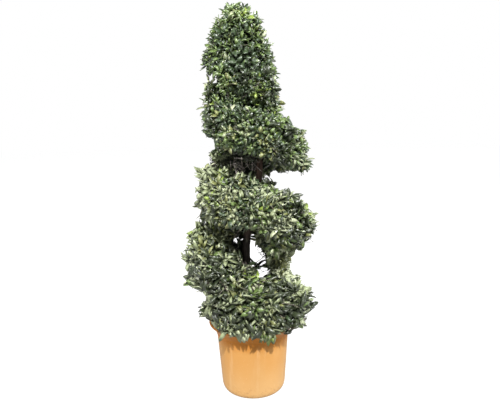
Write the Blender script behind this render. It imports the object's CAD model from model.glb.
"""A potted spiral topiary: its pot, soil, bark, twigs and leaves, built round the fixed CAD frame."""

import math

import bpy
import numpy as np
from bpy.props import FloatProperty, FloatVectorProperty, IntProperty, PointerProperty
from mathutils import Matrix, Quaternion, Vector
from mathutils.bvhtree import BVHTree


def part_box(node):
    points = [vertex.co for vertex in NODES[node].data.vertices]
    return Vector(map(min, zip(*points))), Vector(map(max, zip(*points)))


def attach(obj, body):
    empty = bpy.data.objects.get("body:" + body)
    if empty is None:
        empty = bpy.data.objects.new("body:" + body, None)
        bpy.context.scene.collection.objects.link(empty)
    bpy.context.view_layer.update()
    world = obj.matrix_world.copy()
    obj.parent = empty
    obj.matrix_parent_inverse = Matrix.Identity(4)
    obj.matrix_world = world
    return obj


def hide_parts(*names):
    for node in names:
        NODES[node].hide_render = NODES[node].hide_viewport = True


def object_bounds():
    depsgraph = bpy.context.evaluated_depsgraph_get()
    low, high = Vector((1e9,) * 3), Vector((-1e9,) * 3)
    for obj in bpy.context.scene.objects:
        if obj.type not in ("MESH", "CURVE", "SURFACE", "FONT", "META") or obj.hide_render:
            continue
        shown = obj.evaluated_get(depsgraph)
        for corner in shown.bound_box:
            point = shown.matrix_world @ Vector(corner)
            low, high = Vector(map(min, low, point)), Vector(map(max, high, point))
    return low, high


bl_info = {
    "name": "Potted Spiral Topiary",
    "version": (1, 0, 0),
    "blender": (4, 5, 0),
    "location": "View3D > Sidebar > Topiary",
    "description": "Grows a clipped spiral evergreen in a round pot on its CAD frame",
    "category": "Add Mesh",
}

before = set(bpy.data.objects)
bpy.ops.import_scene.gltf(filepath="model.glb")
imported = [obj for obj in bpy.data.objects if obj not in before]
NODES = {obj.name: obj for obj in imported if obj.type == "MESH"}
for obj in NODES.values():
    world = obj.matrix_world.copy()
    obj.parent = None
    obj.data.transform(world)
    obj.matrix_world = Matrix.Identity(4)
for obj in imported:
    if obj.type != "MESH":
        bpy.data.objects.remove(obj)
CAD_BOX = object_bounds()

TURN = 2 * math.pi
UP = np.array((0.0, 0.0, 1.0))
WHITE = (1, 1, 1, 1)
MASSES = sorted(name for name in NODES if name.startswith("foliage_"))
BOUGHS = sorted(name for name in NODES if name.startswith("bough_"))


def place_of(node_name):
    """The place word that a bough, its mass and their pieces share, such as turn_2_front."""
    return node_name.split("_", 1)[1]


# ---------------------------------------------------------------- settings
def size_setting(name, description, default):
    """A size in metres that can be set."""
    return FloatProperty(name=name, description=description, default=default, unit="LENGTH")


def colour_setting(name, description, default):
    """A colour that can be set."""
    return FloatVectorProperty(
        name=name, description=description, default=default, size=3, min=0, max=1, subtype="COLOR"
    )


class PotSettings(bpy.types.PropertyGroup):
    """The pot's sizes and colours."""

    wall: size_setting("Wall", "Thickness of the pot's wall", 0.004)
    lip: size_setting("Lip", "Height of the rolled lip", 0.008)
    plastic: colour_setting("Plastic", "Main colour of the moulded plastic", (0.308, 0.154, 0.044))
    shaded: colour_setting("Shaded", "Plastic that the leaves have kept the sun off", (0.256, 0.093, 0.011))
    faded: colour_setting("Faded", "Plastic that the sun has bleached", (0.345, 0.205, 0.082))
    bloom: colour_setting("Bloom", "Pale mineral bloom left by hard water", (0.46, 0.33, 0.20))
    mud: colour_setting("Mud", "Soil splashed on the foot by rain", (0.12, 0.07, 0.035))


class SoilSettings(bpy.types.PropertyGroup):
    """The potting mix."""

    damp: colour_setting("Damp", "Damp hollows", (0.024, 0.016, 0.010))
    dry: colour_setting("Dry", "Dry crumbs", (0.120, 0.082, 0.052))
    chips: IntProperty(name="Chips", description="Number of bark chips on the soil", default=420, min=0)


class BarkSettings(bpy.types.PropertyGroup):
    """The stem's and the boughs' bark."""

    relief: size_setting("Relief", "Depth of the furrows in the stem's bark", 0.0045)
    ridge: colour_setting("Ridge", "Weathered tops of the bark's ridges", (0.043, 0.033, 0.027))
    furrow: colour_setting("Furrow", "Dark floor of the furrows", (0.008, 0.006, 0.005))
    young: colour_setting("Young", "Reddish ridges of the younger wood higher up", (0.090, 0.048, 0.028))
    lichen: colour_setting("Lichen", "Grey-green lichen on the ridges", (0.15, 0.165, 0.115))


class LeafSettings(bpy.types.PropertyGroup):
    """The leaves and the twigs that carry them."""

    crown_length: size_setting("Crown leaf", "Length of a leaf near the top", 0.038)
    foot_length: size_setting("Foot leaf", "Length of a leaf in the lowest turn", 0.061)
    slimness: FloatProperty(
        name="Slimness", description="Width of a leaf as a share of its length", default=0.42, min=0.1, max=1
    )
    closeness: FloatProperty(
        name="Closeness", description="Distance between shoots in leaf lengths", default=0.50, min=0.3, max=3
    )
    dark: colour_setting("Dark", "Mature leaf, blue-green", (0.028, 0.047, 0.018))
    middle: colour_setting("Middle", "Mature leaf, full green", (0.082, 0.122, 0.032))
    olive: colour_setting("Olive", "Mature leaf, brownish green", (0.138, 0.150, 0.052))
    grey: colour_setting("Grey", "Older, duller leaf", (0.172, 0.198, 0.102))
    silver: colour_setting("Silver", "Palest leaf", (0.285, 0.310, 0.190))
    fresh: colour_setting("Fresh", "Young yellow-green leaf", (0.150, 0.205, 0.034))
    inner: colour_setting("Inner", "Leaf deep inside the plant", (0.022, 0.030, 0.012))
    underside: colour_setting("Underside", "Underside of a leaf low on the plant", (0.180, 0.205, 0.115))
    green_twig: colour_setting("Green twig", "Young shoot with leaves", (0.085, 0.095, 0.040))
    woody_twig: colour_setting("Woody twig", "Limb that shoots grow from", (0.125, 0.105, 0.085))
    bare_twig: colour_setting("Bare twig", "Dry shoot without leaves", (0.230, 0.205, 0.185))


class StageSettings(bpy.types.PropertyGroup):
    """The floor, the light and the view."""

    key_power: FloatProperty(
        name="Key", description="Power of the main light in watts", default=2200, min=0, unit="POWER"
    )
    sky: FloatProperty(name="Sky", description="Strength of the even light all round", default=1.0, min=0)
    floor: colour_setting("Floor", "Colour of the floor", (0.10, 0.10, 0.10))


# ---------------------------------------------------------------- finishes
class Signal:
    """A socket that carries a number, so that shader maths reads as plain expressions."""

    def __init__(self, nodes, socket):
        self.nodes = nodes
        self.socket = socket

    def _maths(self, operation, first, second):
        node = self.nodes.add("ShaderNodeMath", {"operation": operation}, {0: first, 1: second})
        return Signal(self.nodes, node.outputs[0])

    def __add__(self, other):
        return self._maths("ADD", self, other)

    def __sub__(self, other):
        return self._maths("SUBTRACT", self, other)

    def __rsub__(self, other):
        return self._maths("SUBTRACT", other, self)

    def __mul__(self, other):
        return self._maths("MULTIPLY", self, other)

    __radd__ = __add__
    __rmul__ = __mul__


class Nodes:
    """A node tree that nodes are added to."""

    def __init__(self, tree):
        self.tree = tree

    def add(self, kind, settings=None, sockets=None):
        """Adds a node: its settings first, then the values or links of its sockets."""
        node = self.tree.nodes.new(kind)
        for key, value in (settings or {}).items():
            setattr(node, key, value)
        self.connect(node, sockets or {})
        return node

    def connect(self, node, sockets):
        """Sets or links sockets of a node, named or numbered."""
        for key, value in sockets.items():
            source = value.socket if isinstance(value, Signal) else value
            if isinstance(source, bpy.types.NodeSocket):
                self.tree.links.new(source, node.inputs[key])
            else:
                node.inputs[key].default_value = source


def opaque(colour):
    """A colour as four numbers. A colour socket stays as it is."""
    return colour if isinstance(colour, bpy.types.NodeSocket) else (*colour, 1)


class Finish(Nodes):
    """One material: a principled shader and the nodes that vary it over the surface."""

    def __init__(self, name):
        self.material = bpy.data.materials.new(name)
        self.material.use_nodes = True
        super().__init__(self.material.node_tree)
        self.tree.nodes.clear()
        self.shader = self.add("ShaderNodeBsdfPrincipled")
        self.add("ShaderNodeOutputMaterial", sockets={"Surface": self.shader.outputs["BSDF"]})

    def wear(self, **sockets):
        """Sets the shader's own sockets: an underscore in a keyword stands for a space."""
        self.connect(self.shader, {key.replace("_", " "): value for key, value in sockets.items()})

    def place(self, stretch=(1, 1, 1)):
        """Object coordinates, stretched."""
        coordinates = self.add("ShaderNodeTexCoord").outputs["Object"]
        mapping = self.add("ShaderNodeMapping", sockets={"Vector": coordinates, "Scale": stretch})
        return mapping.outputs["Vector"]

    def noise(self, scale, detail=4, roughness=0.55, stretch=(1, 1, 1)):
        """Noise between 0 and 1 of a given fineness."""
        sockets = {"Vector": self.place(stretch), "Scale": scale, "Detail": detail, "Roughness": roughness}
        return Signal(self, self.add("ShaderNodeTexNoise", sockets=sockets).outputs["Fac"])

    def height(self):
        """Height above the foot of the pot, in metres."""
        parts = self.add("ShaderNodeSeparateXYZ", sockets={"Vector": self.place()})
        return Signal(self, parts.outputs["Z"])

    def step(self, signal, low, high):
        """0 below low, 1 above high and smooth between. Swapped limits turn it round."""
        sockets = {"Value": signal, "From Min": low, "From Max": high}
        node = self.add("ShaderNodeMapRange", {"interpolation_type": "SMOOTHSTEP"}, sockets)
        return Signal(self, node.outputs["Result"])

    def blend(self, mask, first, second):
        """first where the mask is 0 and second where it is 1. Both are colours or colour sockets."""
        sockets = {"Factor": mask, 6: opaque(first), 7: opaque(second)}
        return self.add("ShaderNodeMix", {"data_type": "RGBA"}, sockets).outputs[2]

    def bump(self, relief, depth, strength):
        """A normal that makes the relief stand up by depth."""
        sockets = {"Height": relief, "Distance": depth, "Strength": strength}
        self.wear(Normal=self.add("ShaderNodeBump", sockets=sockets).outputs["Normal"])


def pot_plastic(pot):
    """Moulded terracotta-coloured plastic, faded in patches, with water marks and soil splashes."""
    finish = Finish("pot_plastic")
    patches = finish.step(finish.noise(5.5, 3), 0.38, 0.68)
    runs = finish.step(finish.noise(26, 5, 0.6, stretch=(1, 1, 0.12)), 0.56, 0.80)
    specks = finish.step(finish.noise(170, 2), 0.66, 0.74)
    height = finish.height()
    near_foot = finish.step(height, 0.075, 0.0)
    splashes = finish.step(finish.noise(75, 5, 0.7), 0.52, 0.66) * near_foot
    under_leaves = finish.step(height + 0.03 * finish.noise(14, 3), 0.215, 0.275)
    bleached = 0.35 * patches + 0.55 * finish.step(height, 0.20, 0.03)
    colour = finish.blend(bleached, pot.plastic, pot.faded)
    colour = finish.blend(under_leaves, colour, pot.shaded)
    colour = finish.blend(runs * 0.30, colour, pot.bloom)
    colour = finish.blend(specks * 0.25, colour, pot.bloom)
    colour = finish.blend(splashes * 0.55, colour, pot.mud)
    grain = finish.noise(420, 3)
    finish.wear(Base_Color=colour, Roughness=0.46 + 0.14 * grain + 0.20 * runs, Specular_IOR_Level=0.09)
    finish.bump(grain * 0.5 + finish.noise(36, 3) + splashes * 0.6, depth=0.0007, strength=0.55)
    return finish.material


def potting_mix(soil):
    """Crumbs of damp and dry compost."""
    finish = Finish("potting_mix")
    crumbs = finish.noise(150, 6, 0.7)
    clods = finish.noise(38, 4)
    dryness = finish.step(crumbs * 0.6 + clods * 0.4, 0.40, 0.64)
    colour = finish.blend(dryness, soil.damp, soil.dry)
    roughness = 0.97 - 0.15 * finish.step(clods, 0.6, 0.3)
    finish.wear(Base_Color=colour, Roughness=roughness, Specular_IOR_Level=0.25)
    finish.bump(crumbs + clods, depth=0.004, strength=0.9)
    return finish.material


def bark_finish(bark, name, reach):
    """Furrowed bark with lichen, dark and grey at the foot and redder higher up, fully so at reach."""
    finish = Finish(name)
    furrows = finish.noise(95, 5, 0.65, stretch=(1, 1, 0.14))
    flakes = finish.noise(48, 4, 0.6, stretch=(1, 1, 0.45))
    ridges = finish.step(furrows * 0.65 + flakes * 0.35, 0.36, 0.66)
    young = finish.step(finish.height() + 0.12 * flakes, 0.60, reach)
    ridge = finish.blend(young * 0.85, bark.ridge, bark.young)
    colour = finish.blend(ridges, bark.furrow, ridge)
    lichen = finish.step(finish.noise(24, 5, 0.6), 0.60, 0.72) * ridges
    colour = finish.blend(lichen * 0.5, colour, bark.lichen)
    finish.wear(Base_Color=colour, Roughness=0.92 - 0.18 * ridges, Specular_IOR_Level=0.3)
    finish.bump(furrows + flakes * 0.5, depth=0.0022, strength=0.9)
    return finish.material


def plain_finish(name, colour, roughness, gloss=0.0):
    """One plain colour, for things too small to carry a pattern."""
    finish = Finish(name)
    finish.wear(Base_Color=opaque(colour), Roughness=roughness)
    if gloss:
        finish.wear(Coat_Weight=gloss, Coat_Roughness=0.28)
    return finish.material


def floor_finish(stage):
    """A pale, faintly mottled studio floor."""
    finish = Finish("studio_floor")
    paler = tuple(min(1.0, 1.03 * part) for part in stage.floor)
    colour = finish.blend(finish.noise(3, 3), stage.floor, paler)
    finish.wear(Base_Color=colour, Roughness=0.9, Emission_Color=WHITE, Emission_Strength=0.90)
    return finish.material


# ---------------------------------------------------------------- modelling helpers
MERGE = 1e-5  # Corners closer than this in metres are one corner.


def linked(name, data):
    """A new object in the scene."""
    thing = bpy.data.objects.new(name, data)
    bpy.context.collection.objects.link(thing)
    return thing


def deselect_all():
    """Leaves edit mode and selects nothing."""
    if bpy.context.mode != "OBJECT":
        bpy.ops.object.mode_set(mode="OBJECT")
    bpy.ops.object.select_all(action="DESELECT")


def select_only(piece):
    """Makes a piece the only selected and active object."""
    deselect_all()
    piece.select_set(True)
    bpy.context.view_layer.objects.active = piece


def edit(piece):
    """Opens a piece in edit mode with all of it selected."""
    select_only(piece)
    bpy.ops.object.mode_set(mode="EDIT")
    bpy.ops.mesh.select_all(action="SELECT")


def settle(piece, name):
    """Names a piece and moves its place into its mesh."""
    select_only(piece)
    bpy.ops.object.transform_apply(location=True, rotation=True, scale=True)
    piece.name = name
    piece.data.name = name
    return piece


def close_shell(piece, name):
    """Ends the modelling of a closed shell: named, settled, doubles merged and faces turned outwards."""
    settle(piece, name)
    edit(piece)
    bpy.ops.mesh.remove_doubles(threshold=MERGE)
    bpy.ops.mesh.normals_make_consistent(inside=False)
    deselect_all()
    return piece


def apply_modifier(piece, kind, name, **settings):
    """Adds a modifier and applies it."""
    select_only(piece)
    modifier = piece.modifiers.new(name, kind)
    for key, value in settings.items():
        setattr(modifier, key, value)
    bpy.ops.object.modifier_apply(modifier=modifier.name)


def roughen(piece, name, grain_size, strength, level=0.5, **settings):
    """Pushes a mesh in and out by soft noise with a grain size along X, Y and Z. Below level it goes in."""
    texture = bpy.data.textures.new(name, "CLOUDS")
    texture.noise_scale = 1.0
    texture.noise_depth = 3
    grain = linked(name, None)
    grain.scale = grain_size
    bpy.context.view_layer.update()
    apply_modifier(
        piece, "DISPLACE", name, texture=texture, texture_coords="OBJECT",
        texture_coords_object=grain, strength=strength, mid_level=level, **settings,
    )
    bpy.data.objects.remove(grain)


def round_off(piece, levels):
    """Subdivides a piece into smooth curves."""
    apply_modifier(piece, "SUBSURF", "rounding", levels=levels, render_levels=levels)


def smooth(piece, angle):
    """Shades a piece smooth up to an angle in degrees."""
    select_only(piece)
    bpy.ops.object.shade_smooth_by_angle(angle=math.radians(angle))


def finish_piece(piece, slot, nodes, *materials):
    """Gives a piece its materials, its body, its record slot and the CAD nodes it stands for."""
    for material in materials:
        piece.data.materials.append(material)
    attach(piece, "root")
    if nodes:
        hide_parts(*nodes)


def merged_copy(node_name, piece_name):
    """A copy of a CAD node's mesh with its loose triangles merged into quads."""
    mesh = NODES[node_name].data.copy()
    mesh.name = piece_name
    mesh.materials.clear()
    piece = linked(piece_name, mesh)
    edit(piece)
    bpy.ops.mesh.remove_doubles(threshold=MERGE)
    bpy.ops.mesh.tris_convert_to_quads()
    deselect_all()
    return piece


def piece_from_arrays(name, points, faces, tints):
    """A mesh of triangles from arrays, with a material number for each face."""
    mesh = bpy.data.meshes.new(name)
    mesh.vertices.add(len(points))
    mesh.vertices.foreach_set("co", points.astype(np.float32).ravel())
    mesh.loops.add(faces.size)
    mesh.loops.foreach_set("vertex_index", faces.astype(np.int32).ravel())
    mesh.polygons.add(len(faces))
    mesh.polygons.foreach_set("loop_start", np.arange(0, faces.size, 3, dtype=np.int32))
    mesh.polygons.foreach_set("material_index", tints.astype(np.int32))
    mesh.update(calc_edges=True)
    return linked(name, mesh)


# ---------------------------------------------------------------- reading the frame
def corners_of(node_name):
    """A CAD node's triangles as an array of three corners each."""
    mesh = NODES[node_name].data
    points = np.empty(3 * len(mesh.vertices))
    mesh.vertices.foreach_get("co", points)
    mesh.calc_loop_triangles()
    numbers = np.empty(3 * len(mesh.loop_triangles), np.int32)
    mesh.loop_triangles.foreach_get("vertices", numbers)
    return points.reshape(-1, 3)[numbers.reshape(-1, 3)]


def tree_of(corners):
    """A ray-casting tree of loose triangles."""
    points = corners.reshape(-1, 3).tolist()
    return BVHTree.FromPolygons(points, [(i, i + 1, i + 2) for i in range(0, len(points), 3)])


def stem_line():
    """Height and centre of each of the stem's level rings, from the foot up."""
    same_level = 1e-4
    points = np.round(corners_of("trunk").reshape(-1, 3), 5)
    line = []
    for height in np.unique(points[:, 2]):
        ring = points[np.abs(points[:, 2] - height) < same_level]
        centre = (ring.min(axis=0) + ring.max(axis=0)) / 2
        line.append((height, centre[0], centre[1]))
    return np.array(line)


STEM = stem_line()


def stem_centre(height):
    """Where the stem's middle line is at a height, or at each of several heights."""
    height = np.asarray(height, float)
    x, y = (np.interp(height, STEM[:, 0], STEM[:, column]) for column in (1, 2))
    return np.stack([x, y, height], -1)


def bough_ends(node_name):
    """Where a bough starts on the stem's middle line and where it ends in its mass."""
    stub, end_radius = 0.006, 0.0095
    points = np.unique(np.round(corners_of(node_name).reshape(-1, 3), 5), axis=0)
    away = np.linalg.norm((points - stem_centre(points[:, 2]))[:, :2], axis=1)
    inner = points[away < away.min() + stub].mean(axis=0)
    tip = points[away.argmax()]
    outer = points[np.linalg.norm(points - tip, axis=1) < end_radius].mean(axis=0)
    slope = (outer - inner) / np.linalg.norm((outer - inner)[:2])
    return stem_centre(inner[2] - 0.6 * slope[2] * away.min()), outer


# ---------------------------------------------------------------- the pot
def arc(start, control, end):
    """Points after start on a soft bend from start to end."""
    steps = 7
    shares = [(i + 1) / steps for i in range(steps)]
    return [
        tuple((1 - t) ** 2 * a + 2 * t * (1 - t) * b + t * t * c for a, b, c in zip(start, control, end))
        for t in shares
    ]


def pot_profile(pot):
    """The pot's section, from the middle of its underside up round the lip and down to the inner floor."""
    rim, _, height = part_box("pot")[1]
    wall, lip, bead = pot.wall, pot.lip, 0.003
    foot, lower, neck = 0.634 * rim, 0.737 * rim, 0.823 * rim
    edge, collar, floor = 0.030, 0.824 * height, 0.006
    points = [(0, 0), (foot - 0.012, 0), (foot - 0.010, 0.002), (foot - 0.004, 0.002), (foot - 0.002, 0)]
    points += arc((foot, 0), (lower - 0.003, 0.002), (lower, edge))
    points += [(neck, collar), (neck + 0.6 * bead, collar + 0.0006), (neck + bead, collar + 0.0022)]
    points += [(neck + bead, collar + 0.0042)]
    points += arc(points[-1], (neck + 0.009, height - 0.026), (rim - 0.004, height - lip - 0.001))
    points += [(rim - 0.0012, height - lip)]
    points += arc((rim, height - lip + 0.001), (rim + 0.0008, height - 0.002), (rim - 0.004, height))
    points += [(rim - lip, height - 0.0004), (rim - lip - 0.003, height - 0.002)]
    points += arc(points[-1], (neck + 0.001, height - 0.028), (neck - wall, collar))
    points += [(lower - wall, edge)]
    points += arc(points[-1], (lower - wall - 0.004, floor + 0.002), (foot, floor))
    return points + [(0, floor)]


def turn_on_axis(name, profile, steps):
    """Draws a profile as edges and spins it round the upright axis into a closed shell."""
    deselect_all()
    bpy.ops.mesh.primitive_circle_add(vertices=3, radius=0.001, location=(profile[0][0], 0, profile[0][1]))
    piece = bpy.context.object
    edit(piece)
    bpy.ops.mesh.merge(type="CENTER")
    for near, far in zip(profile, profile[1:]):
        step = (far[0] - near[0], 0, far[1] - near[1])
        bpy.ops.mesh.extrude_region_move(TRANSFORM_OT_translate={"value": step})
    bpy.ops.mesh.select_all(action="SELECT")
    bpy.ops.mesh.spin(steps=steps, angle=TURN, center=(0, 0, 0), axis=(0, 0, 1))
    return close_shell(piece, name)


def drill_drain_holes(pot):
    """Cuts a ring of drain holes through the pot's floor."""
    holes, radius, ring, depth = 8, 0.007, 0.084, 0.03
    cutters = []
    for i in range(holes):
        angle = (i + 0.5) / holes * TURN
        spot = (ring * math.cos(angle), ring * math.sin(angle), 0)
        bpy.ops.mesh.primitive_cylinder_add(vertices=24, radius=radius, depth=depth, location=spot)
        cutters.append(bpy.context.object)
    select_only(cutters[0])
    for cutter in cutters:
        cutter.select_set(True)
    bpy.ops.object.join()
    apply_modifier(pot, "BOOLEAN", "drain_holes", object=cutters[0], operation="DIFFERENCE", solver="EXACT")
    bpy.data.objects.remove(cutters[0])


class TOPIARY_OT_pot(bpy.types.Operator):
    """Turn the pot: rolled lip, flared collar with a bead under it, rounded foot and drain holes."""

    bl_idname = "topiary.pot"
    bl_label = "Build pot"

    def execute(self, context):
        settings = context.scene.topiary_pot
        pot = turn_on_axis("nursery_pot", pot_profile(settings), steps=112)
        drill_drain_holes(pot)
        smooth(pot, angle=32)
        finish_piece(pot, "pot", ["pot"], pot_plastic(settings))
        return {"FINISHED"}


# ---------------------------------------------------------------- the soil
CHIP_POINTS = np.array([(x, y, z) for x in (-1, 1) for y in (-1, 1) for z in (-1, 1)], float)
CHIP_FACES = np.array([
    (0, 1, 3), (0, 3, 2), (4, 6, 7), (4, 7, 5), (0, 4, 5), (0, 5, 1),
    (2, 3, 7), (2, 7, 6), (0, 2, 6), (0, 6, 4), (1, 5, 7), (1, 7, 3),
])
# A chip's smallest and largest half sizes.
CHIP_SIZES = (0.004, 0.002, 0.0008), (0.012, 0.006, 0.0022)
# The colours and the roughness that chips may have.
CHIP_TINTS = (
    ("chip_dark", (0.030, 0.018, 0.011), 0.9),
    ("chip_brown", (0.085, 0.048, 0.026), 0.85),
    ("chip_pale", (0.170, 0.110, 0.065), 0.85),
)


def build_soil_body(material):
    """The potting mix: the CAD plug, remeshed, with a lumpy top."""
    soil = merged_copy("soil", "potting_mix")
    apply_modifier(soil, "REMESH", "even_mesh", mode="VOXEL", voxel_size=0.0055)
    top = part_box("soil")[1].z - 0.010
    group = soil.vertex_groups.new(name="top")
    group.add([v.index for v in soil.data.vertices if v.co.z > top], 1.0, "REPLACE")
    for name, grain, strength in (("clods", 0.030, 0.010), ("crumbs", 0.009, 0.007)):
        roughen(soil, name, (grain,) * 3, strength, direction="Z", vertex_group="top")
    soil.vertex_groups.clear()
    smooth(soil, angle=50)
    finish_piece(soil, "soil", ["soil"], material)
    return soil


def spots_on_soil(rng, soil, count):
    """Places just above the soil's top, spread evenly between the stem and the pot's wall."""
    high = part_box("soil")[1]
    reach, above, lift = high.x - 0.010, 0.05, 0.0015
    radii = reach * np.sqrt(rng.uniform(0.06, 1.0, count))
    spots = []
    for radius, angle in zip(radii, rng.uniform(0, TURN, count)):
        start = Vector((radius * math.cos(angle), radius * math.sin(angle), high.z + above))
        found, place, _, _ = soil.ray_cast(start, Vector((0, 0, -1)))
        spots.append(place if found else start)
    return np.array(spots) + UP * lift


def turned(first, second, angles):
    """Two coordinates of the corners of many chips, turned by one angle for each chip."""
    cosine, sine = np.cos(angles)[:, None], np.sin(angles)[:, None]
    return cosine * first - sine * second, sine * first + cosine * second


def scatter_chips(soil, count):
    """Flat, uneven bark chips lying on the soil at all angles."""
    rng = np.random.default_rng(41)
    spots = spots_on_soil(rng, soil, count)
    sizes = rng.uniform(*CHIP_SIZES, (count, 3))
    corners = CHIP_POINTS * rng.uniform(0.55, 1.0, (count, 8, 3)) * sizes[:, None, :]
    heading = rng.uniform(0, TURN, count)
    tilt = rng.normal(0, 0.28, count)
    x, z = turned(corners[..., 0], corners[..., 2], tilt)
    x, y = turned(x, corners[..., 1], heading)
    corners = np.stack([x, y, z], -1) + spots[:, None, :]
    faces = CHIP_FACES[None] + len(CHIP_POINTS) * np.arange(count)[:, None, None]
    tints = np.repeat(rng.integers(0, len(CHIP_TINTS), count), len(CHIP_FACES))
    return piece_from_arrays("bark_chips", corners.reshape(-1, 3), faces.reshape(-1, 3), tints)


class TOPIARY_OT_soil(bpy.types.Operator):
    """Fill the pot with potting mix and scatter bark chips on it."""

    bl_idname = "topiary.soil"
    bl_label = "Fill with soil"

    def execute(self, context):
        settings = context.scene.topiary_soil
        soil = build_soil_body(potting_mix(settings))
        chips = scatter_chips(soil, settings.chips)
        finish_piece(chips, "soil", [], *(plain_finish(*tint) for tint in CHIP_TINTS))
        return {"FINISHED"}


# ---------------------------------------------------------------- the stem and the boughs
BOUGH_RADII = (0.0135, 0.0105, 0.0078, 0.0068, 0.0060, 0.0053, 0.0047, 0.0040)
# How far a bough bends down or up on its way, as a share of its rise. Only one arches.
SAG, ARCH = -0.12, 1.1
ARCHED_BOUGH = "bough_tuft_right"


class TOPIARY_OT_stem(bpy.types.Operator):
    """Shape the stem: the CAD stem refined, with upright furrows and swellings in its bark."""

    bl_idname = "topiary.stem"
    bl_label = "Shape stem"

    def execute(self, context):
        settings = context.scene.topiary_bark
        stem = merged_copy("trunk", "stem")
        round_off(stem, levels=3)
        roughen(stem, "swellings", (0.030, 0.030, 0.055), strength=0.0055, level=0.10)
        roughen(stem, "furrows", (0.0065, 0.0065, 0.050), settings.relief, level=0.35)
        smooth(stem, angle=60)
        finish_piece(stem, "bark", ["trunk"], bark_finish(settings, "stem_bark", reach=1.0))
        return {"FINISHED"}


def build_limb(name, centres, radii):
    """A tapering limb: a disc extruded from centre to centre and resized at each."""
    turn = (centres[1] - centres[0]).to_track_quat("Z", "Y").to_euler()
    deselect_all()
    bpy.ops.mesh.primitive_circle_add(
        vertices=10, radius=radii[0], fill_type="NGON", location=centres[0], rotation=turn
    )
    limb = bpy.context.object
    edit(limb)
    for near, far, thick, thin in zip(centres, centres[1:], radii, radii[1:]):
        bpy.ops.mesh.extrude_region_move(TRANSFORM_OT_translate={"value": far - near})
        bpy.ops.transform.resize(value=(thin / thick,) * 3, center_override=far)
    return close_shell(limb, name)


def bough_line(start, end, lift):
    """A point for each radius along a bough, which bends up where lift is above 0 and down below it."""
    knee = start + 0.55 * (end - start) + UP * lift * (end[2] - start[2])
    shares = np.linspace(0, 1, len(BOUGH_RADII))[:, None]
    line = (1 - shares) ** 2 * start + 2 * shares * (1 - shares) * knee + shares**2 * end
    return [Vector(point) for point in line]


class TOPIARY_OT_boughs(bpy.types.Operator):
    """Shape the boughs: one tapering limb with a collar for each bough of the CAD frame."""

    bl_idname = "topiary.boughs"
    bl_label = "Shape boughs"

    def execute(self, context):
        material = bark_finish(context.scene.topiary_bark, "bough_bark", reach=1.1)
        for node_name in BOUGHS:
            line = bough_line(*bough_ends(node_name), ARCH if node_name == ARCHED_BOUGH else SAG)
            limb = build_limb(f"limb_{place_of(node_name)}", line, BOUGH_RADII)
            round_off(limb, levels=2)
            roughen(limb, "wrinkles", (0.006, 0.006, 0.022), strength=0.0022)
            smooth(limb, angle=60)
            finish_piece(limb, "bark", [node_name], material)
        return {"FINISHED"}


# ---------------------------------------------------------------- growth
EYE = np.array((0.0023, -2.054, 1.186))  # Where the plant is seen from.
TINTS = (
    "leaf_dark", "leaf_middle", "leaf_olive", "leaf_grey", "leaf_silver", "leaf_fresh",
    "leaf_inner", "leaf_underside", "bare",
)
MIDDLE = TINTS.index("leaf_middle")
INNER = TINTS.index("leaf_inner")
UNDERSIDE = TINTS.index("leaf_underside")
BARE = TINTS.index("bare")
MIXED = -1  # A shoot whose tint is still to be dealt.

MILLIMETRES = 1000  # The tables below are in millimetres, and everything else is in metres.
# Places that are kept clear as seen from the front, where the sky shows between the turns or beside
# a notch in the clipped outline: sideways, height and half sizes.
CLEAR_PLACES = np.array([
    (6, 622, 11, 60), (8, 584, 16, 22), (30, 591, 22, 33), (45, 570, 21, 25),
    (46, 507, 22, 23), (-62, 651, 14, 14), (-172, 626, 9, 14), (-68, 926, 9, 8),
    (-122, 1306, 11, 8), (-185, 1305, 24, 40), (-176, 1060, 42, 36), (-200, 1010, 40, 26),
    (-205, 985, 36, 16), (-199, 1130, 15, 29), (232, 1150, 50, 40), (190, 1150, 22, 18),
    (275, 1085, 36, 35), (190, 915, 92, 22), (240, 880, 75, 26), (135, 882, 30, 13),
    (104, 932, 14, 15), (282, 795, 40, 25), (-246, 858, 22, 26), (-238, 775, 34, 22),
    (-275, 735, 50, 35), (-301, 675, 30, 45), (-302, 540, 26, 34), (-258, 408, 60, 36),
    (-248, 378, 20, 28), (-262, 335, 32, 35), (-215, 245, 62, 62), (-100, 200, 52, 15),
    (264, 622, 40, 30), (230, 572, 62, 30), (281, 658, 17, 20), (223, 540, 56, 26),
    (214, 512, 52, 18), (282, 285, 35, 50), (252, 315, 20, 18), (255, 287, 22, 33),
    (232, 205, 80, 48), (106, 1489, 18, 35), (139, 1384, 19, 42), (-295, 434, 16, 23),
    (-241, 296, 21, 19), (167, 183, 30, 48), (127, 186, 22, 24), (238, 474, 24, 24),
]) / MILLIMETRES
# The stem shows here, so nothing grows in front of it: sideways, height and half sizes.
STEM_IN_VIEW = np.array((-17, 625, 25, 62)) / MILLIMETRES
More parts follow.
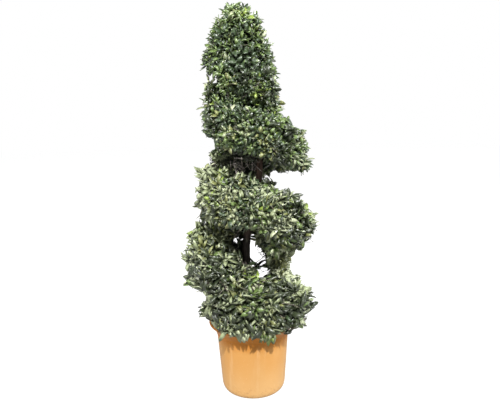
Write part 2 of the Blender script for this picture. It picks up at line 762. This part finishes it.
# Twigs that fill thin places: the mass that they grow from, their middle, its half sizes, the way that
# they lean, their number, and a leaf tint, "bare" for no leaves, or nothing for mixed leaves.
FILLINGS = [
    ("tuft_right", (34, 20, 547), (34, 30, 14), (0, 0, 1), 18, "leaf_dark"),
    ("turn_4_right", (168, 30, 474), (24, 30, 14), (0, 0, 1), 7, ""),
    ("turn_4_right", (138, -30, 500), (28, 30, 20), (0.3, -0.5, 1), 9, "leaf_silver"),
    ("turn_4_right", (160, -120, 462), (40, 18, 34), (0.3, -1, 0.5), 12, "leaf_grey"),
    ("turn_4_right", (206, -20, 440), (14, 30, 14), (1, 0, 0.5), 6, ""),
    ("tuft_right", (68, 60, 625), (24, 40, 42), (0, 0, 1), 20, ""),
    ("tuft_right", (90, -10, 608), (20, 30, 34), (0.2, -0.6, 0.6), 12, "leaf_grey"),
    ("tuft_right", (132, -10, 588), (20, 40, 36), (0.7, -0.6, 0.5), 18, "leaf_olive"),
    ("tuft_right", (128, -10, 550), (16, 30, 24), (0.7, -0.6, 0.3), 9, "leaf_grey"),
    ("turn_3_right", (116, -120, 668), (36, 20, 24), (0, -1, -0.5), 12, ""),
    ("turn_4_left", (-55, 45, 600), (14, 20, 28), (0, 0, 1), 12, "leaf_inner"),
    ("turn_4_left", (-150, -90, 500), (30, 20, 26), (-0.3, -1, 0.2), 10, "leaf_grey"),
    ("turn_4_left", (-168, -135, 520), (45, 18, 36), (-0.2, -1, 0.5), 14, "leaf_silver"),
    ("turn_4_left", (-82, -20, 588), (28, 30, 14), (0, -0.3, 1), 12, ""),
    ("turn_4_left", (-252, -10, 590), (12, 40, 20), (-1, -0.2, 0.5), 6, ""),
    ("turn_4_left", (-230, -20, 690), (18, 60, 26), (0, 0, 1), 10, ""),
    ("turn_3_left", (-122, 20, 1020), (36, 40, 28), (0, 0, 1), 22, ""),
    ("turn_3_left", (-186, 0, 942), (14, 40, 14), (0, 0, 1), 8, ""),
    ("turn_3_left", (-40, 40, 985), (80, 30, 30), (0, 0, 1), 30, "leaf_inner"),
    ("turn_2_front", (-55, 20, 1032), (45, 30, 20), (0, 0, -1), 16, "leaf_inner"),
    ("turn_2_front", (20, -50, 1018), (50, 20, 16), (0, -0.3, -1), 14, "leaf_inner"),
    ("turn_2_front", (10, -60, 1000), (50, 20, 20), (-0.6, -0.3, 0.4), 7, "bare"),
    ("turn_3_left", (-52, -45, 990), (55, 30, 24), (-0.6, -0.3, 0.6), 15, "bare"),
    ("turn_3_right", (66, 20, 922), (10, 20, 12), (0, 0, 1), 4, "bare"),
    ("turn_3_right", (85, 20, 880), (28, 30, 14), (0, 0, 1), 8, ""),
    ("turn_3_right", (246, 0, 735), (10, 40, 20), (1, 0, 0.3), 6, ""),
    ("turn_3_right", (38, 0, 664), (14, 30, 20), (-0.5, 0, -1), 9, ""),
    ("turn_2_left", (-146, -20, 1282), (14, 30, 22), (0, 0, 1), 9, ""),
    ("turn_2_right", (108, 0, 1190), (12, 30, 25), (0.7, 0, 1), 8, ""),
    ("turn_2_right", (226, -30, 978), (12, 30, 18), (1, 0, 0), 6, ""),
    ("turn_1_right", (58, -62, 1206), (36, 20, 16), (0.2, -0.8, 0.6), 13, ""),
    ("turn_1_front", (-40, -88, 1226), (55, 18, 12), (0, -1, -0.2), 18, ""),
    ("crown", (-70, -90, 1362), (30, 20, 24), (-0.3, -1, 0.2), 12, ""),
    ("crown", (36, 0, 1530), (14, 30, 16), (0.6, 0, 1), 5, ""),
    ("crown", (-54, 0, 1578), (12, 30, 10), (-0.3, 0, 1), 5, ""),
    ("crown", (-56, 0, 1545), (16, 30, 14), (0, 0, 1), 6, ""),
    ("crown", (96, 0, 1335), (12, 30, 25), (1, 0, 0.6), 8, ""),
    ("turn_4_front", (-36, -198, 345), (14, 8, 8), (0, -1, -0.7), 4, "leaf_silver"),
    ("turn_4_front", (66, -198, 332), (14, 8, 8), (0.1, -1, -0.8), 3, "leaf_fresh"),
    ("turn_4_front", (66, -198, 345), (26, 10, 8), (0.1, -1, -0.5), 4, ""),
    ("turn_4_front", (10, -200, 350), (30, 10, 8), (0, -1, -0.5), 6, ""),
    ("turn_4_front", (-88, -208, 350), (36, 8, 8), (-0.2, -1, 0.0), 9, ""),
    ("turn_4_front", (-124, -150, 368), (6, 6, 6), (-0.2, -1, -0.4), 2, "leaf_fresh"),
]
# Soft-edged places where pale or dark sprays gather: sideways, height and half sizes.
PALE_PLACES = np.array([(-180, 490, 85, 110), (160, 455, 60, 80), (125, 610, 45, 55)]) / MILLIMETRES
DEEP_PLACES = np.array([
    (-10, 1440, 100, 110), (0, 1330, 110, 35), (-60, 820, 70, 40), (-30, 1200, 90, 50),
    (-10, 1045, 100, 30), (120, 1030, 110, 35), (30, 880, 45, 40), (30, 545, 40, 25),
]) / MILLIMETRES


class Mass:
    """One mass of foliage: its skin, its random draws, and the limbs, shoots and leaves grown inside it."""

    def __init__(self, node_name, seed):
        self.name = node_name
        self.place = place_of(node_name)
        self.corners = corners_of(node_name)
        self.tree = tree_of(self.corners)
        self.rng = np.random.default_rng(seed)
        self.limbs = []


def all_solids():
    """A tree of every CAD triangle and the name of the node that each belongs to."""
    owners = []
    parts = []
    for name in sorted(NODES):
        corners = corners_of(name)
        parts.append(corners)
        owners += [name] * len(corners)
    return tree_of(np.concatenate(parts)), owners


def unit(vectors):
    """Vectors of length 1."""
    return vectors / np.maximum(np.linalg.norm(vectors, axis=-1, keepdims=True), 1e-9)


def ramp(values, start, reach):
    """0 at start, 1 at start + reach, straight between and level beyond. It falls where reach is below 0."""
    return np.clip((values - start) / reach, 0, 1)


def joined(*groups):
    """Groups of like arrays as one group."""
    return [np.concatenate(parts) for parts in zip(*groups)]


def points_on_skin(mass, spacing, crowding):
    """Points over a mass's skin, crowding to each square of spacing, and the skin's direction at each."""
    rng = mass.rng
    side_a = mass.corners[:, 1] - mass.corners[:, 0]
    side_b = mass.corners[:, 2] - mass.corners[:, 0]
    normals = np.cross(side_a, side_b)
    areas = np.linalg.norm(normals, axis=1) / 2
    count = int(areas.sum() / spacing**2 * crowding)
    pick = rng.choice(len(areas), count, p=areas / areas.sum())
    u, v = rng.random((2, count))
    over = u + v > 1
    u[over], v[over] = 1 - u[over], 1 - v[over]
    points = mass.corners[pick, 0] + u[:, None] * side_a[pick] + v[:, None] * side_b[pick]
    return points, unit(normals[pick])


def thinned(points, spacing):
    """Numbers of the points left when none may be closer to an earlier one than its spacing."""
    cell = spacing.max()
    grid = {}
    kept = []
    for i, point in enumerate(points):
        x, y, z = (int(part) for part in point // cell)
        near = [
            j
            for dx in (-1, 0, 1) for dy in (-1, 0, 1) for dz in (-1, 0, 1)
            for j in grid.get((x + dx, y + dy, z + dz), ())
        ]
        if near and (((points[near] - point) ** 2).sum(axis=1) < spacing[i] ** 2).any():
            continue
        grid.setdefault((x, y, z), []).append(i)
        kept.append(i)
    return kept


def leaf_length(heights, leaves):
    """Leaves are longer low down, where the plant is clipped less often."""
    return leaves.crown_length + (leaves.foot_length - leaves.crown_length) * ramp(heights, 1.05, -0.65)


def is_within(place, x, z):
    """True inside an ellipse, given as sideways, height and half sizes."""
    middle_x, middle_z, half_x, half_z = place
    return ((x - middle_x) / half_x) ** 2 + ((z - middle_z) / half_z) ** 2 < 1


def in_clear_place(points):
    """True for points that would close one of the clear places, as seen from the front."""
    front_of_stem = 0.012
    share = -EYE[1] / (points[..., 1] - EYE[1])
    x = EYE[0] + (points[..., 0] - EYE[0]) * share
    z = EYE[2] + (points[..., 2] - EYE[2]) * share
    closed = is_within(STEM_IN_VIEW, x, z) & (points[..., 1] < front_of_stem)
    for place in CLEAR_PLACES:
        closed |= is_within(place, x, z)
    return closed


def in_pot(points):
    """True for points inside the pot's outline or its soil, or almost touching the rim."""
    above, beside = 0.003, 0.002
    rim, _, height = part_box("pot")[1]
    radius = np.hypot(points[..., 0], points[..., 1])
    return (points[..., 2] < height + above) & (radius < rim + beside)


def is_clipped(points):
    """True for points that the shears take off, because they are well outside the plant's box."""
    reach = 0.020
    low, high = np.array(CAD_BOX)
    return ((points < low - reach) | (points > high + reach)).any(axis=-1)


def room_behind(mass, points, outward):
    """How deep the mass is behind each point of its skin, where a ray finds its far side."""
    unknown, start_below, furthest = 0.05, 0.001, 0.6
    depth = np.full(len(points), unknown)
    for i, (point, direction) in enumerate(zip(points, outward)):
        start = Vector(point - direction * start_below)
        distance = mass.tree.ray_cast(start, Vector(-direction), furthest)[3]
        if distance is not None:
            depth[i] = distance
    return depth


def is_inside(mass, points):
    """True for points inside a mass's skin."""
    inside = np.zeros(len(points), bool)
    for i, point in enumerate(points):
        spot, outward, _, _ = mass.tree.find_nearest(Vector(point))
        inside[i] = (Vector(point) - spot).dot(outward) < 0
    return inside


def is_covered(solids, mass, point, direction):
    """True where another piece of the plant or the pot lies close against the skin."""
    start_above, close = 0.0005, 0.016
    tree, owners = solids
    _, _, face, _ = tree.ray_cast(Vector(point + direction * start_above), Vector(direction), close)
    return face is not None and owners[face] != mass.name


def open_places(mass, solids, leaves):
    """Places on a mass's open skin, spaced by the length of its leaves, and the skin's direction at each."""
    points, outward = points_on_skin(mass, leaves.closeness * leaves.crown_length, crowding=2.6)
    length = leaf_length(points[:, 2], leaves)
    looser = (length / leaves.crown_length) ** 0.35
    spacing = leaves.closeness * length * looser * mass.rng.uniform(0.85, 1.1, len(points))
    kept = [i for i in thinned(points, spacing) if not is_covered(solids, mass, points[i], outward[i])]
    return points[kept], outward[kept]


# A group of shoots is four arrays: their feet, their tips, the length of their leaves and their tints.
def outer_shoots(mass, solids, leaves):
    """Shoots that end under the open skin of a mass, so that their leaves reach it."""
    rng = mass.rng
    shortest, longest, most_of_room = 1.8, 2.5, 0.75
    points, outward = open_places(mass, solids, leaves)
    size = leaf_length(points[:, 2], leaves)
    inset = size * rng.normal(0.78, 0.20, len(points))
    tips = points - outward * inset[:, None]
    heading = unit(outward * 0.9 + UP * 0.35 + rng.normal(0, 0.46, points.shape))
    room = room_behind(mass, points, outward)
    length = np.minimum(size * rng.uniform(shortest, longest, len(points)), most_of_room * room)[:, None]
    feet = tips - heading * length
    outside = ~is_inside(mass, feet)
    feet[outside] = (tips - outward * 0.7 * length)[outside]
    sound = is_inside(mass, feet)
    return feet[sound], tips[sound], size[sound], np.full(sound.sum(), MIXED)


def inner_shoots(mass, leaves):
    """Shoots that fill the shade behind the skin."""
    rng = mass.rng
    spacing = 0.041
    points, outward = points_on_skin(mass, spacing, crowding=1.6)
    kept = thinned(points, np.full(len(points), spacing))
    points, outward = points[kept], outward[kept]
    room = room_behind(mass, points, outward)
    depth = np.minimum(rng.uniform(0.030, 0.060, len(points)), 0.45 * room)
    tips = points - outward * depth[:, None]
    heading = unit(outward + UP * 0.2 + rng.normal(0, 0.7, points.shape))
    length = np.minimum(rng.uniform(0.05, 0.08, len(points)), 0.5 * room)
    size = leaf_length(points[:, 2], leaves) * 1.15
    return tips - heading * length[:, None], tips, size, np.full(len(tips), INNER)


def filling_shoots(mass, leaves):
    """The shoots of each filling that grows from a mass."""
    rng = mass.rng
    groups = []
    for place, middle, half, lean, number, tint in FILLINGS:
        if place == mass.place:
            spread = unit(rng.normal(size=(number, 3))) * rng.random((number, 1)) ** 0.4
            tips = np.array(middle) / MILLIMETRES + spread * (np.array(half) / MILLIMETRES)
            heading = unit(rng.normal(0, 0.45, (number, 3)) + 0.6 * np.array(lean))
            length = rng.uniform(0.035, 0.060, (number, 1)) * (1.4 if tint == "bare" else 1.0)
            tints = np.full(number, TINTS.index(tint) if tint else MIXED)
            groups.append((tips - heading * length, tips, leaf_length(tips[:, 2], leaves), tints))
    return groups


def closeness_to(places, x, z):
    """How near each point is to the middle of one of some places: 1 there, fading to 0 round it."""
    near = [np.exp(-(((x - px) / wide) ** 2) - ((z - pz) / high) ** 2) for px, pz, wide, high in places]
    return np.max(near, axis=0)


def tint_weights(x, y, z, upward):
    """How often each of the first six tints comes up at each point: a row for each tint."""
    patch = np.sin(x / 0.019 + 1.7) + np.sin(y / 0.023 + 0.4) + np.sin(z / 0.021 + 2.1 + x / 0.04)
    streak = np.sin(x / 0.013 + z / 0.017) + np.sin(z / 0.011 - y / 0.016)
    left = ramp(x, -0.01, -0.13) * np.where(z < 0.95, 1.5, 0.6)
    upper = ramp(z, 1.00, 0.15) * ramp(x, -0.17, 0.05)
    lower = ramp(z, 0.52, -0.10) * ramp(x, -0.14, 0.05)
    broad = ramp(z, 1.00, -0.08)
    young = ramp(z, 1.30, 0.2) * ramp(x, -0.08, 0.1)
    beneath = ramp(upward, -0.25, -1.0) * (z > 0.9)
    pale, deep = closeness_to(PALE_PLACES, x, z), closeness_to(DEEP_PLACES, x, z)
    return np.array([
        0.15 + 0.10 * streak + 0.66 * upper - 0.05 * broad + 0.45 * deep - 0.15 * pale + 0.8 * beneath,
        0.26 + 0.09 * patch + 0.12 * upper + 0.18 * lower,
        0.15 - 0.05 * streak + 0.10 * left - 0.05 * upper,
        0.16 - 0.06 * patch - 0.04 * lower + 0.11 * broad + 0.22 * left - 0.13 * upper + 0.25 * pale
        - 0.08 * deep,
        0.06 - 0.02 * patch + 0.06 * broad + 0.12 * left - 0.05 * upper + 0.05 * lower + 0.60 * pale
        - 0.05 * deep,
        0.05 + 0.05 * patch + 0.05 * upward + 0.07 * young + 0.04 * lower,
    ])


def dealt_tints(mass, tips):
    """One tint for each shoot, in loose patches: paler at the left, darker above and greener below."""
    centre = mass.corners.reshape(-1, 3).mean(axis=0)
    weights = tint_weights(*tips.T, unit(tips - centre)[:, 2]).clip(0.01).cumsum(axis=0)
    draw = mass.rng.random(len(tips)) * weights[-1]
    return (draw > weights).sum(axis=0)


def limb_radius(count):
    """A limb is as thick as the shoots that it feeds need."""
    return 0.0010 * count**0.30


def parted(rng, feet):
    """The feet of a group of shoots parted in two, across the direction in which they spread most."""
    count = len(feet)
    spread = feet - feet.mean(axis=0)
    axis = np.linalg.svd(spread, full_matrices=False)[2][0] if count > 2 else spread[0]
    order = np.argsort(spread @ axis)
    cut = int(np.clip(round(count * rng.uniform(0.36, 0.64)), 1, count - 1))
    return feet[order[:cut]], feet[order[cut:]]


def grow(mass, start, heading, feet):
    """Grows a limb towards a group of shoots, and forks it where they part, until each has its own."""
    rng = mass.rng
    shortest, bend = 0.004, 0.14
    count = len(feet)
    reach = feet.mean(axis=0) - start
    fork = start + reach
    if count > 1:
        share = rng.uniform(0.32, 0.55)
        fork = start + share * reach + rng.normal(0, 0.045 * np.linalg.norm(reach), 3)
    span = np.linalg.norm(fork - start)
    if span > shortest:
        radius = limb_radius(count)
        middle = (start + fork) / 2 + heading * bend * span + rng.normal(0, 0.03 * span, 3)
        mass.limbs.append((start, middle, radius * 1.06, radius))
        mass.limbs.append((middle, fork, radius, radius * 0.92))
        heading = unit(fork - middle)
    if count > 1:
        for group in parted(rng, feet):
            grow(mass, fork, heading, group)


def limb_starts(mass):
    """Where a mass's limbs start: at the end of its bough, or for the crown at places up the stem."""
    if mass.place != "crown":
        return [bough_ends(f"bough_{mass.place}")[1]]
    lowest, highest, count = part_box(mass.name)[0].z + 0.01, STEM[-1, 0] - 0.002, 6
    return [stem_centre(height) for height in np.linspace(lowest, highest, count)]


def grow_limbs(mass, feet):
    """Grows the limbs of a mass, each from its start to the shoots' feet that are nearest to it."""
    starts = limb_starts(mass)
    nearest = np.argmin([((feet - start) ** 2).sum(axis=1) for start in starts], axis=0)
    for number, start in enumerate(starts):
        group = feet[nearest == number]
        if len(group):
            grow(mass, start, unit(group.mean(axis=0) - start), group)


def grow_mass(node_name, seed, solids, leaves):
    """Grows one mass of foliage: its shoots, the forking limbs that reach them and their leaves."""
    mass = Mass(node_name, seed)
    outer = outer_shoots(mass, solids, leaves)
    inner = inner_shoots(mass, leaves)
    feet, tips, size, tints = joined(outer, *filling_shoots(mass, leaves))
    tints = np.where(tints == MIXED, dealt_tints(mass, tips), tints)
    shoots = joined((feet, tips, size, tints), inner)
    feet, tips = shoots[:2]
    clear = ~(in_clear_place(tips) | in_clear_place((tips + feet) / 2) | in_pot(tips) | in_pot(feet))
    mass.shoots = [part[clear] for part in shoots]
    grow_limbs(mass, mass.shoots[0])
    mass.leaves, mass.leafy = grow_leaves(mass, leaves)
    return mass


GROWN = {}


def grown_masses(leaves):
    """Every mass, grown once and then kept."""
    if not GROWN:
        solids = all_solids()
        for number, name in enumerate(MASSES):
            GROWN[name] = grow_mass(name, 1000 + number, solids, leaves)
    return GROWN


# ---------------------------------------------------------------- twigs
GREEN_TWIG, WOODY_TWIG, BARE_TWIG = range(3)
THICK_LIMB = 0.0024  # Limbs above this radius have six sides, and thinner ones three.


def cross_axes(along):
    """Two directions square to each given one and to each other."""
    helper = np.where(np.abs(along[..., 2:]) < 0.9, UP, np.array((1.0, 0.0, 0.0)))
    first = unit(np.cross(along, helper))
    return first, np.cross(along, first)


def prisms(starts, ends, start_radii, end_radii, sides):
    """Closed tapering prisms as points and triangles."""
    first, second = cross_axes(unit(ends - starts))
    angles = (np.arange(sides) / sides * TURN)[:, None]
    ring = first[:, None] * np.cos(angles) + second[:, None] * np.sin(angles)
    low = starts[:, None] + ring * start_radii[:, None, None]
    high = ends[:, None] + ring * end_radii[:, None, None]
    points = np.concatenate([low, high], axis=1).reshape(-1, 3)
    faces = []
    for i in range(sides):
        j = (i + 1) % sides
        faces += [(i, j, sides + j), (i, sides + j, sides + i)]
    for i in range(1, sides - 1):
        faces += [(0, i + 1, i), (sides, sides + i, sides + i + 1)]
    faces = np.array(faces)[None] + 2 * sides * np.arange(len(starts))[:, None, None]
    return points, faces.reshape(-1, 3)


def twig_arrays(mass):
    """The limbs and shoots of a mass as one mesh's arrays."""
    feet, tips, _, tints = mass.shoots
    starts, ends, low, high = (np.array(parts) for parts in zip(*mass.limbs))
    thick = low > THICK_LIMB
    rods = [
        (starts[group], ends[group], low[group], high[group], sides, WOODY_TWIG)
        for group, sides in ((thick, 6), (~thick, 3))
    ]
    for group, radius, tint in ((mass.leafy, 0.0010, GREEN_TWIG), (tints == BARE, 0.0014, BARE_TWIG)):
        radii = np.full(group.sum(), radius)
        rods.append((feet[group], tips[group], radii, 0.5 * radii, 3, tint))
    meshes, offset = [], 0
    for *shape, tint in rods:
        points, faces = prisms(*shape)
        meshes.append((points, faces + offset, np.full(len(faces), tint)))
        offset += len(points)
    return joined(*meshes)


class TOPIARY_OT_twigs(bpy.types.Operator):
    """Grow the twigs: each bough forks on and on inside its mass until every shoot is reached."""

    bl_idname = "topiary.twigs"
    bl_label = "Grow twigs"

    def execute(self, context):
        settings = context.scene.topiary_leaves
        green = plain_finish("twig_green", settings.green_twig, roughness=0.6)
        woody = plain_finish("twig_woody", settings.woody_twig, roughness=0.8)
        bare = plain_finish("twig_bare", settings.bare_twig, roughness=0.8)
        for name, mass in grown_masses(settings).items():
            piece = piece_from_arrays(f"twigs_{mass.place}", *twig_arrays(mass))
            finish_piece(piece, "bark", [name], green, woody, bare)
        return {"FINISHED"}


# ---------------------------------------------------------------- leaves
# Each pair of leaves up a shoot: its place on it, how far its leaves open, and their size.
PAIR_PLACES = np.array([(0.30,), (0.56,), (0.79,), (0.92,), (1.0,)])
PAIR_OPENINGS = np.array([(1.25,), (1.20,), (1.14,), (1.00,), (0.66,)])
PAIR_SIZES = np.array([(0.88,), (1.0,), (1.05,), (1.0,), (0.84,)])
# Leaves turn a little towards the side that the light comes from.
SUNWARD = np.array((0.0, -0.8, 0.6))
# A leaf's corners: along by its length, across by its half width, and up by its length.
# It is folded along the midrib.
LEAF_EDGE = [(0.15, 0.54, 0.040), (0.45, 1.00, 0.075), (0.80, 0.72, 0.005)]
LEAF_POINTS = np.array(
    [(0.0, 0.0, 0.0), *LEAF_EDGE, (1.0, 0.0, -0.100)]
    + [(x, -y, z) for x, y, z in reversed(LEAF_EDGE)]
    + [(0.45, 0.0, -0.012), (0.45, 0.0, -0.030)]
)
LEAF_RIM, LEAF_MIDRIB, LEAF_KEEL = 8, 8, 9
LEAF_TOP = [((i + 1) % LEAF_RIM, i, LEAF_MIDRIB) for i in range(LEAF_RIM)]
LEAF_UNDER = [(i, (i + 1) % LEAF_RIM, LEAF_KEEL) for i in range(LEAF_RIM)]
LEAF_FACES = np.array(LEAF_TOP + LEAF_UNDER)


def leaf_directions(rng, along):
    """The way that each leaf points and the way that it faces, for pairs that are square to each other."""
    count, pairs = len(along), len(PAIR_PLACES)
    along = along[:, None, None]
    first, second = cross_axes(along)
    spin = rng.uniform(0, TURN, (count, 1, 1)) + np.arange(pairs)[:, None] * TURN / 4
    spin = spin + np.array((0, TURN / 2)) + rng.normal(0, 0.22, (count, pairs, 2))
    side = first * np.cos(spin)[..., None] + second * np.sin(spin)[..., None]
    opening = PAIR_OPENINGS + rng.normal(0, 0.17, spin.shape)
    point = along * np.cos(opening)[..., None] + side * np.sin(opening)[..., None]
    point = unit(point + rng.normal(0, 0.13, side.shape))
    face = along + UP * 0.20 + SUNWARD * 0.35 + rng.normal(0, 0.27, side.shape)
    face = unit(face - point * (face * point).sum(axis=-1, keepdims=True))
    return point, face


def leaf_feet(rng, feet, tips):
    """Where each leaf starts, pair by pair up each shoot."""
    jitter = rng.uniform(-0.04, 0.04, (len(feet), len(PAIR_PLACES), 2))
    share = np.clip(PAIR_PLACES + jitter, 0, 1)
    return feet[:, None, None] + (tips - feet)[:, None, None] * share[..., None]


def leaf_sizes(rng, size, leaves):
    """Each leaf's length and half width, pair by pair up each shoot. Longer leaves are slimmer."""
    shape = (len(size), len(PAIR_SIZES), 2)
    size = size[:, None, None]
    length = size * PAIR_SIZES * rng.uniform(0.72, 1.18, shape)
    slimmer = (leaves.crown_length / size) ** 0.80
    half = length * slimmer * leaves.slimness / 2 * rng.uniform(0.85, 1.15, shape)
    return length, half


def leaf_mesh(foot, point, face, length, half, tint):
    """Leaves as a mesh's arrays: points, triangles and a tint for each triangle."""
    along, across, up = LEAF_POINTS.T
    wide = np.cross(face, point)
    corners = foot[:, None] + point[:, None] * (along * length[:, None])[..., None]
    corners += wide[:, None] * (across * half[:, None])[..., None]
    corners += face[:, None] * (up * length[:, None])[..., None]
    faces = LEAF_FACES[None] + len(LEAF_POINTS) * np.arange(len(foot))[:, None, None]
    top = np.arange(len(LEAF_FACES)) < len(LEAF_TOP)
    under = np.where(foot[:, 2:] > 1.02, MIDDLE, UNDERSIDE)
    face_tints = np.where(top[None] | (tint[:, None] == INNER), tint[:, None], under)
    return corners.reshape(-1, 3), faces.reshape(-1, 3), face_tints.ravel()


def grow_leaves(mass, leaves):
    """Opposite pairs of leaves up every shoot as a mesh's arrays, and whether each shoot has some."""
    rng = mass.rng
    lost, fewest = 0.03, 4
    feet, tips, size, tints = mass.shoots
    point, face = leaf_directions(rng, unit(tips - feet))
    foot = leaf_feet(rng, feet, tips)
    length, half = leaf_sizes(rng, size, leaves)
    middle = foot + point * (0.5 * length)[..., None]
    end = foot + point * length[..., None]
    keep = ~(in_clear_place(middle) | in_clear_place(end) | in_pot(end) | in_pot(middle) | in_pot(foot))
    keep &= (rng.random(keep.shape) > lost) & (tints != BARE)[:, None, None] & ~is_clipped(end)
    leafy = keep.sum(axis=(1, 2)) >= fewest
    keep &= leafy[:, None, None]
    tint = np.broadcast_to(tints[:, None, None], keep.shape)
    return leaf_mesh(*(part[keep] for part in (foot, point, face, length, half, tint))), leafy


class TOPIARY_OT_leaves(bpy.types.Operator):
    """Clothe the shoots in opposite pairs of narrow glossy leaves."""

    bl_idname = "topiary.leaves"
    bl_label = "Grow leaves"

    def execute(self, context):
        settings = context.scene.topiary_leaves
        tints = [
            plain_finish(name, getattr(settings, name.removeprefix("leaf_")), roughness=0.42, gloss=0.30)
            for name in TINTS[:UNDERSIDE]
        ]
        tints.append(plain_finish(TINTS[UNDERSIDE], settings.underside, roughness=0.62))
        for name, mass in grown_masses(settings).items():
            piece = piece_from_arrays(f"leaves_{mass.place}", *mass.leaves)
            finish_piece(piece, "leaf", [name], *tints)
        return {"FINISHED"}


# ---------------------------------------------------------------- the stage
LIT_POINT = Vector((0, 0, 0.8))
# The weaker lights: name, place, width, and power as a share of the main light's.
WEAK_LIGHTS = (
    ("fill_left", (-3.0, -0.7, 2.7), 1.3, 0.067),
    ("back", (-0.6, 3.6, 2.6), 1.6, 0.050),
    ("fill_right", (3.1, 0.0, 2.4), 1.0, 0.076),
)


def add_camera():
    """A camera a little above the plant's middle, looking slightly down."""
    pitch, roll = math.radians(10), math.radians(-1.4)
    data = bpy.data.cameras.new("view")
    data.sensor_width = 36
    data.lens = 36.25
    camera = linked("view", data)
    camera.location = EYE
    camera.rotation_mode = "QUATERNION"
    ahead = Vector((0, math.cos(pitch), -math.sin(pitch)))
    camera.rotation_quaternion = ahead.to_track_quat("-Z", "Y") @ Quaternion((0, 0, 1), roll)
    bpy.context.scene.camera = camera


def add_light(name, spot, size, power):
    """A round soft light aimed at the plant."""
    data = bpy.data.lights.new(name, "AREA")
    data.shape = "DISK"
    data.size = size
    data.energy = power
    light = linked(name, data)
    light.location = spot
    light.rotation_euler = (LIT_POINT - light.location).to_track_quat("-Z", "Y").to_euler()


def add_key_light(power):
    """The main light: small and high, a little to the right of the front."""
    azimuth, elevation, away = math.radians(5), math.radians(41), 9.0
    spot = (
        away * math.cos(elevation) * math.sin(azimuth),
        -away * math.cos(elevation) * math.cos(azimuth),
        LIT_POINT.z + away * math.sin(elevation),
    )
    add_light("key", spot, 0.17, power)


def soft_sky(strength):
    """White light all round, full near the horizon and weaker overhead."""
    world = bpy.data.worlds.new("soft_sky")
    world.use_nodes = True
    nodes = Nodes(world.node_tree)
    place = nodes.add("ShaderNodeTexCoord").outputs["Generated"]
    height = nodes.add("ShaderNodeSeparateXYZ", sockets={"Vector": place}).outputs["Z"]
    limits = {"From Min": 0.22, "From Max": 0.36, "To Min": strength, "To Max": 0.36 * strength}
    fall = nodes.add("ShaderNodeMapRange", sockets={"Value": height, **limits}).outputs["Result"]
    nodes.connect(world.node_tree.nodes["Background"], {"Color": WHITE, "Strength": fall})
    bpy.context.scene.world = world


class TOPIARY_OT_stage(bpy.types.Operator):
    """Set the stage: pale floor, a high key light from the front right, even sky and the camera."""

    bl_idname = "topiary.stage"
    bl_label = "Set stage"

    def execute(self, context):
        settings = context.scene.topiary_stage
        deselect_all()
        bpy.ops.mesh.primitive_circle_add(vertices=96, radius=16, fill_type="NGON")
        floor = settle(bpy.context.object, "studio_floor")
        floor.data.materials.append(floor_finish(settings))
        add_key_light(settings.key_power)
        for name, spot, size, share in WEAK_LIGHTS:
            add_light(name, spot, size, share * settings.key_power)
        soft_sky(settings.sky)
        context.scene.view_settings.view_transform = "Standard"
        add_camera()
        return {"FINISHED"}


# ---------------------------------------------------------------- the add-on
class TOPIARY_PT_panel(bpy.types.Panel):
    """The steps and settings of the topiary, in the sidebar."""

    bl_idname = "TOPIARY_PT_panel"
    bl_label = "Spiral Topiary"
    bl_space_type = "VIEW_3D"
    bl_region_type = "UI"
    bl_category = "Topiary"

    def draw(self, context):
        for operator in OPERATORS:
            self.layout.operator(operator.bl_idname)
        for name, group in SETTINGS.items():
            box = self.layout.box()
            for key in group.__annotations__:
                box.prop(getattr(context.scene, name), key)


SETTINGS = {
    "topiary_pot": PotSettings,
    "topiary_soil": SoilSettings,
    "topiary_bark": BarkSettings,
    "topiary_leaves": LeafSettings,
    "topiary_stage": StageSettings,
}
OPERATORS = (
    TOPIARY_OT_stage, TOPIARY_OT_pot, TOPIARY_OT_soil, TOPIARY_OT_stem,
    TOPIARY_OT_boughs, TOPIARY_OT_twigs, TOPIARY_OT_leaves,
)


def register():
    """Registers the settings, the operators and the panel."""
    for name, group in SETTINGS.items():
        bpy.utils.register_class(group)
        setattr(bpy.types.Scene, name, PointerProperty(type=group))
    for shown in (*OPERATORS, TOPIARY_PT_panel):
        bpy.utils.register_class(shown)


def unregister():
    """Takes the panel, the operators and the settings away again."""
    for shown in (TOPIARY_PT_panel, *reversed(OPERATORS)):
        bpy.utils.unregister_class(shown)
    for name, group in SETTINGS.items():
        delattr(bpy.types.Scene, name)
        bpy.utils.unregister_class(group)


def main():
    """Builds the whole topiary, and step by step."""
    register()
    bpy.ops.topiary.stage()
    bpy.ops.topiary.pot()
    bpy.ops.topiary.soil()
    bpy.ops.topiary.stem()
    bpy.ops.topiary.boughs()
    bpy.ops.topiary.twigs()
    bpy.ops.topiary.leaves()
    deselect_all()


if __name__ == "__main__":
    main()
